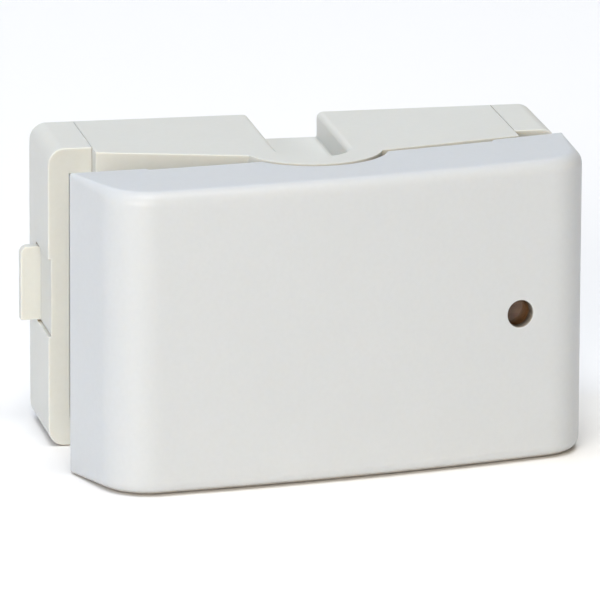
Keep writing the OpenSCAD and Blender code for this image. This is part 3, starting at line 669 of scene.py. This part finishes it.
def metal(name, colour, rough, stain):
    """Drawn metal with fine lines, stained patches and brighter edges."""
    f = Finish(name, Metallic=1.0)
    lines = f.noise(0.5, 3.0, 0.6, (1, 1, 12))
    dull = f.span(f.noise(2.2, 4.0, 0.65), 0.4, 0.75)
    tone = f.mix(f.math("MULTIPLY", dull, 0.5), colour, stain)
    tone = f.mix(f.math("MULTIPLY", f.edges(0.2), 0.6), tone, shade(colour, 1.12))
    worn = f.math("ADD", f.span(lines, 0, 1, rough - 0.06, rough + 0.08),
                  f.math("MULTIPLY", dull, 0.12))
    return f.done(tone, worn, [(lines, 0.003)])


def banded(name, body, bands, first, pitch, width):
    """Lacquered body with painted rings along x, the first of them at first, in mm."""
    f = Finish(name, Coat_Weight=0.3)
    at = f.add("ShaderNodeSeparateXYZ", {0: f.place}).outputs[0]
    tone = f.mix(f.noise(1.5, 2.0), shade(body, 0.92), shade(body, 1.06))
    for i, band in enumerate(bands):
        off = f.math("ABSOLUTE", f.math("SUBTRACT", at, (first + i*pitch)*MM))
        tone = f.mix(f.math("LESS_THAN", off, width*MM/2), tone, band)
    gloss = f.span(f.noise(0.8, 2.0), 0, 1, 0.3, 0.42)
    return f.done(tone, gloss, [(f.noise(0.4, 2.0), 0.004)])


HEAD_WHITE, HEAD_WORN = (0.578, 0.604, 0.626), (0.63, 0.65, 0.665)
BASE_WHITE, BASE_WORN = (0.632, 0.640, 0.605), (0.68, 0.685, 0.65)
soft_light = dict(Subsurface_Weight=0.35, Subsurface_Scale=2.2*MM,
                  Subsurface_Radius=(1.0, 0.8, 0.6))

head_plastic = moulded("head_plastic", HEAD_WHITE, HEAD_WORN, 0.40, port=True, **soft_light)
base_plastic = moulded("base_plastic", BASE_WHITE, BASE_WORN, 0.44, **soft_light)
FINISHES = {"head_plastic": head_plastic}
SMALL_MOULDINGS = (
    # name, colour, worn colour, roughness, grain, cloud, contrast
    ("black_plastic", (0.028, 0.028, 0.030), (0.09, 0.09, 0.09), 0.5, 0.006, 6.0, 0.12),
    ("terminal_green", (0.025, 0.17, 0.075), (0.07, 0.25, 0.14), 0.45, 0.004, 5.0, 0.06),
    ("relay_case", (0.015, 0.045, 0.18), (0.05, 0.10, 0.28), 0.30, 0.002, 7.0, 0.05),
    ("suppressor_coat", (0.02, 0.06, 0.30), (0.06, 0.12, 0.38), 0.22, 0.008, 2.0, 0.08),
    ("trimmer_blue", (0.02, 0.10, 0.36), (0.06, 0.17, 0.45), 0.4, 0.003, 4.0, 0.05),
    ("dial_white", (0.72, 0.72, 0.66), (0.8, 0.8, 0.76), 0.4, 0.003, 3.0, 0.03),
)
for kind in SMALL_MOULDINGS:
    FINISHES[kind[0]] = moulded(*kind)
FINISHES["rubber"] = rubber("rubber", (0.022, 0.022, 0.021))
FINISHES["steel"] = metal("steel", (0.62, 0.63, 0.66), 0.30, (0.44, 0.45, 0.43))
FINISHES["brass"] = metal("brass", (0.72, 0.53, 0.24), 0.30, (0.45, 0.30, 0.14))


def board_finish():
    """Lacquered laminate: paper fibres and dull copper tracks under a brown mask."""
    f = Finish("board", Coat_Weight=0.4, Coat_Roughness=0.15)
    fibres = f.noise(1.2, 4.0, 0.6, (1, 1, 4))
    tone = f.mix(fibres, (0.16, 0.075, 0.028), (0.21, 0.105, 0.042))
    tracks = f.add("ShaderNodeTexVoronoi", {"Vector": f.place, "Scale": 1/(4.2*MM)},
                   feature="DISTANCE_TO_EDGE", distance="CHEBYCHEV").outputs["Distance"]
    copper = f.span(tracks, 0.10, 0.13)
    seen = f.math("MULTIPLY", f.math("SUBTRACT", 1.0, copper), 0.55)
    tone = f.mix(seen, tone, (0.30, 0.14, 0.05))
    return f.done(tone, f.span(fibres, 0, 1, 0.32, 0.46), [(copper, 0.02), (fibres, 0.004)])


def capacitor_finish():
    """Shrunk sleeve with a pale stripe down one side and a bare aluminium top."""
    f = Finish("capacitor_sleeve", Coat_Weight=0.25)
    low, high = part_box("smoothing_capacitor")
    parts = f.add("ShaderNodeSeparateXYZ", {0: f.place}).outputs
    stripe = f.math("LESS_THAN", parts[0], low.x + (high.x - low.x)*0.12)
    tone = f.mix(f.noise(2.0, 3.0), (0.010, 0.016, 0.085), (0.016, 0.024, 0.11))
    tone = f.mix(stripe, tone, (0.42, 0.45, 0.52))
    top = f.math("LESS_THAN", parts[1], low.y + 0.5*MM)
    tone = f.mix(top, tone, (0.55, 0.55, 0.56))
    gloss = f.span(f.noise(0.8, 2.0), 0, 1, 0.24, 0.36)
    return f.done(tone, gloss, [(f.noise(0.6, 2.0), 0.006)])


def clear_finish(name, colour, rough, weight):
    """Tinted see-through plastic with faint swirls. weight is how far it is see-through."""
    f = Finish(name, Transmission_Weight=weight, IOR=1.49)
    tone = f.mix(f.noise(1.6, 3.0), shade(colour, 0.9), shade(colour, 1.1))
    gloss = f.span(f.noise(1.0, 2.0), 0, 1, rough, rough + 0.1)
    return f.done(tone, gloss, [(f.noise(0.8, 2.0), 0.002)])


TRACK_SCALE = 1/(0.9*MM)/6.28    # of the wave texture that draws the sensor track


def photocell_finish():
    """Winding sensor track under clear epoxy."""
    f = Finish("photocell_coat", Coat_Weight=0.6, Coat_Roughness=0.1)
    wave = f.add("ShaderNodeTexWave", {"Vector": f.place, "Scale": TRACK_SCALE,
                                       "Distortion": 0.4},
                 bands_direction="Z").outputs["Fac"]
    track = f.span(wave, 0.42, 0.58)
    tone = f.mix(track, (0.30, 0.09, 0.035), (0.62, 0.50, 0.36))
    tone = f.mix(f.math("MULTIPLY", f.noise(0.7), 0.3), tone, (0.4, 0.16, 0.07))
    return f.done(tone, f.span(f.noise(0.5), 0, 1, 0.3, 0.4), [(track, 0.02)])


FINISHES["board"] = board_finish()
FINISHES["capacitor_sleeve"] = capacitor_finish()
FINISHES["led_red"] = clear_finish("led_red", (0.62, 0.03, 0.02), 0.25, 0.6)
FINISHES["filter_amber"] = clear_finish("filter_amber", (0.42, 0.22, 0.10), 0.12, 0.75)
FINISHES["photocell_coat"] = photocell_finish()
RESISTOR_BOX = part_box("resistors")
RESISTOR_BANDS = ((0.20, 0.05, 0.02), (0.02, 0.02, 0.02), (0.55, 0.10, 0.02), (0.45, 0.30, 0.06))
FINISHES["resistor_coat"] = banded("resistor_coat", (0.50, 0.38, 0.20), RESISTOR_BANDS,
                                   (RESISTOR_BOX[0].x + RESISTOR_BOX[1].x)/2/MM - 2.1, 1.25, 0.55)

NODE_FINISH = {
    "rubber": ("wall_seal", "cable_grommet", "head_seal"),
    "steel": ("upper_pivot_pin", "lower_pivot_pin", "upper_wave_washer", "lower_wave_washer",
              "cover_screws", "board_screws", "crystal"),
    "brass": ("terminal_screws",),
    "head_plastic": ("head_chassis",),
    "black_plastic": ("controller_chip", "transistor", "voltage_regulator", "diodes",
                      "mode_jumper", "sensor_tube"),
    "terminal_green": ("terminal_block",),
    "relay_case": ("relay",),
    "capacitor_sleeve": ("smoothing_capacitor",),
    "suppressor_coat": ("surge_suppressor",),
    "trimmer_blue": ("sensitivity_trimmer",),
    "dial_white": ("trimmer_dial",),
    "led_red": ("status_led",),
    "resistor_coat": ("resistors",),
    "filter_amber": ("light_filter",),
    "photocell_coat": ("photocell",),
    "board": ("circuit_board",),
}
for finish, names in NODE_FINISH.items():
    for name in names:
        node = nodes[name]
        node.data.materials.clear()
        node.data.materials.append(FINISHES[finish])

for piece in ("head_cover", "carrier", "bracket", "left_lever", "right_lever"):
    slot, finish = "base_plastic", base_plastic
    if piece == "head_cover":
        slot, finish = "head_plastic", head_plastic
    bpy.data.objects[piece].data.materials.append(finish)


# ---------- camera ----------

IMAGE = 600                              # side of the photo, pixels
CAMERA_TURN, CAMERA_RISE, CAMERA_ROLL = [math.radians(x) for x in (10.96, 14.366, -0.252)]
SCALE = 5.0                              # pixels per millimetre at the frame's origin
DISTANCE = 1/0.00061                     # from the camera to the origin, mm
ORIGIN_X, ORIGIN_Y = 281.488, 259.4586   # pixel that shows the origin
SENSOR = 36.0


def make_camera():
    """Camera as it was fitted to the edges in the photo."""
    right = Vector((math.cos(CAMERA_TURN), -math.sin(CAMERA_TURN), 0))
    back = Vector((-math.sin(CAMERA_TURN)*math.cos(CAMERA_RISE),
                   -math.cos(CAMERA_TURN)*math.cos(CAMERA_RISE), math.sin(CAMERA_RISE)))
    up = back.cross(right)
    off_x, off_y = (ORIGIN_X - IMAGE/2)/SCALE, (IMAGE/2 - ORIGIN_Y)/SCALE
    place = (back*DISTANCE - right*off_x - up*off_y)*MM
    x = right*math.cos(CAMERA_ROLL) - up*math.sin(CAMERA_ROLL)
    y = up*math.cos(CAMERA_ROLL) + right*math.sin(CAMERA_ROLL)
    data = bpy.data.cameras.new("camera")
    data.sensor_width, data.lens, data.clip_end = SENSOR, SENSOR*SCALE*DISTANCE/IMAGE, 10
    o = bpy.data.objects.new("camera", data)
    scene.collection.objects.link(o)
    o.matrix_world = Matrix(((x.x, y.x, back.x, place.x), (x.y, y.y, back.y, place.y),
                             (x.z, y.z, back.z, place.z), (0, 0, 0, 1)))
    scene.camera = o


make_camera()


# ---------- light and floor ----------

def area_light(name, azimuth, elevation, distance, size, power, colour):
    """Round soft light that points at the origin; azimuth 0 is in front, 90 on the right."""
    a, e = math.radians(azimuth), math.radians(elevation)
    at = Vector((math.sin(a)*math.cos(e), -math.cos(a)*math.cos(e), math.sin(e)))*distance
    data = bpy.data.lights.new(name, "AREA")
    data.shape, data.size, data.energy, data.color = "DISK", size, power, colour
    o = bpy.data.objects.new(name, data)
    o.location = at
    o.rotation_euler = (-at).to_track_quat("-Z", "Y").to_euler()
    scene.collection.objects.link(o)


LIGHTS = (
    # name, azimuth, elevation, distance and size in metres, power in watts, colour
    ("key", -35, 12, 3.0, 1.2, 40.4, (1.0, 0.942, 0.868)),
    ("front", -12, 25, 3.0, 1.2, 26.5, (1.0, 0.908, 0.75)),
    ("left", -95, 38, 3.0, 1.6, 10.8, (0.24, 0.49, 1.0)),
    ("top", -10, 78, 2.8, 2.0, 62.5, (1.0, 0.992, 0.98)),
    ("right", 85, 20, 3.0, 1.6, 5.2, (1.0, 0.70, 0.4)),
    ("back", 180, 50, 3.0, 2.0, 20.5, (0.70, 0.83, 1.0)),
)
for light in LIGHTS:
    area_light(*light)


FLOOR_Z = -30.2*MM                       # just under the object
FLOOR_FRONT, FLOOR_FLAT_TO = -2.5, 2.0   # metres
FLOOR_BEND, FLOOR_TOP, FLOOR_HALF = 1.5, 4.0, 4.0


def make_floor():
    """Pale sheet that curves up far behind the object."""
    bm = bmesh.new()
    turns = [math.radians(a) for a in range(0, 91, 6)]
    profile = [(FLOOR_FRONT, 0)]
    profile += [(FLOOR_FLAT_TO + FLOOR_BEND*math.sin(a), FLOOR_BEND*(1 - math.cos(a)))
                for a in turns]
    profile += [(FLOOR_FLAT_TO + FLOOR_BEND, FLOOR_TOP)]
    rows = [add_ring(bm, [(x, y, FLOOR_Z + h) for x in (-FLOOR_HALF, FLOOR_HALF)])
            for y, h in profile]
    for a, b in zip(rows, rows[1:]):
        bridge(bm, a, b, closed=False)
    o = add_object(bm, "floor")
    f = Finish("floor_paper", Specular_IOR_Level=0.2)
    tone = f.mix(f.noise(260.0, 2.0), (0.93, 0.93, 0.93), (0.95, 0.95, 0.95))
    matt = f.span(f.noise(40.0), 0, 1, 0.8, 0.9)
    o.data.materials.append(f.done(tone, matt, [(f.noise(3.0), 0.01)]))


make_floor()

world = bpy.data.worlds.new("studio")
scene.world = world
world.use_nodes = True
background = world.node_tree.nodes["Background"]
background.inputs["Color"].default_value = (1, 1, 1, 1)
background.inputs["Strength"].default_value = 0.02

scene.view_settings.view_transform = "Standard"
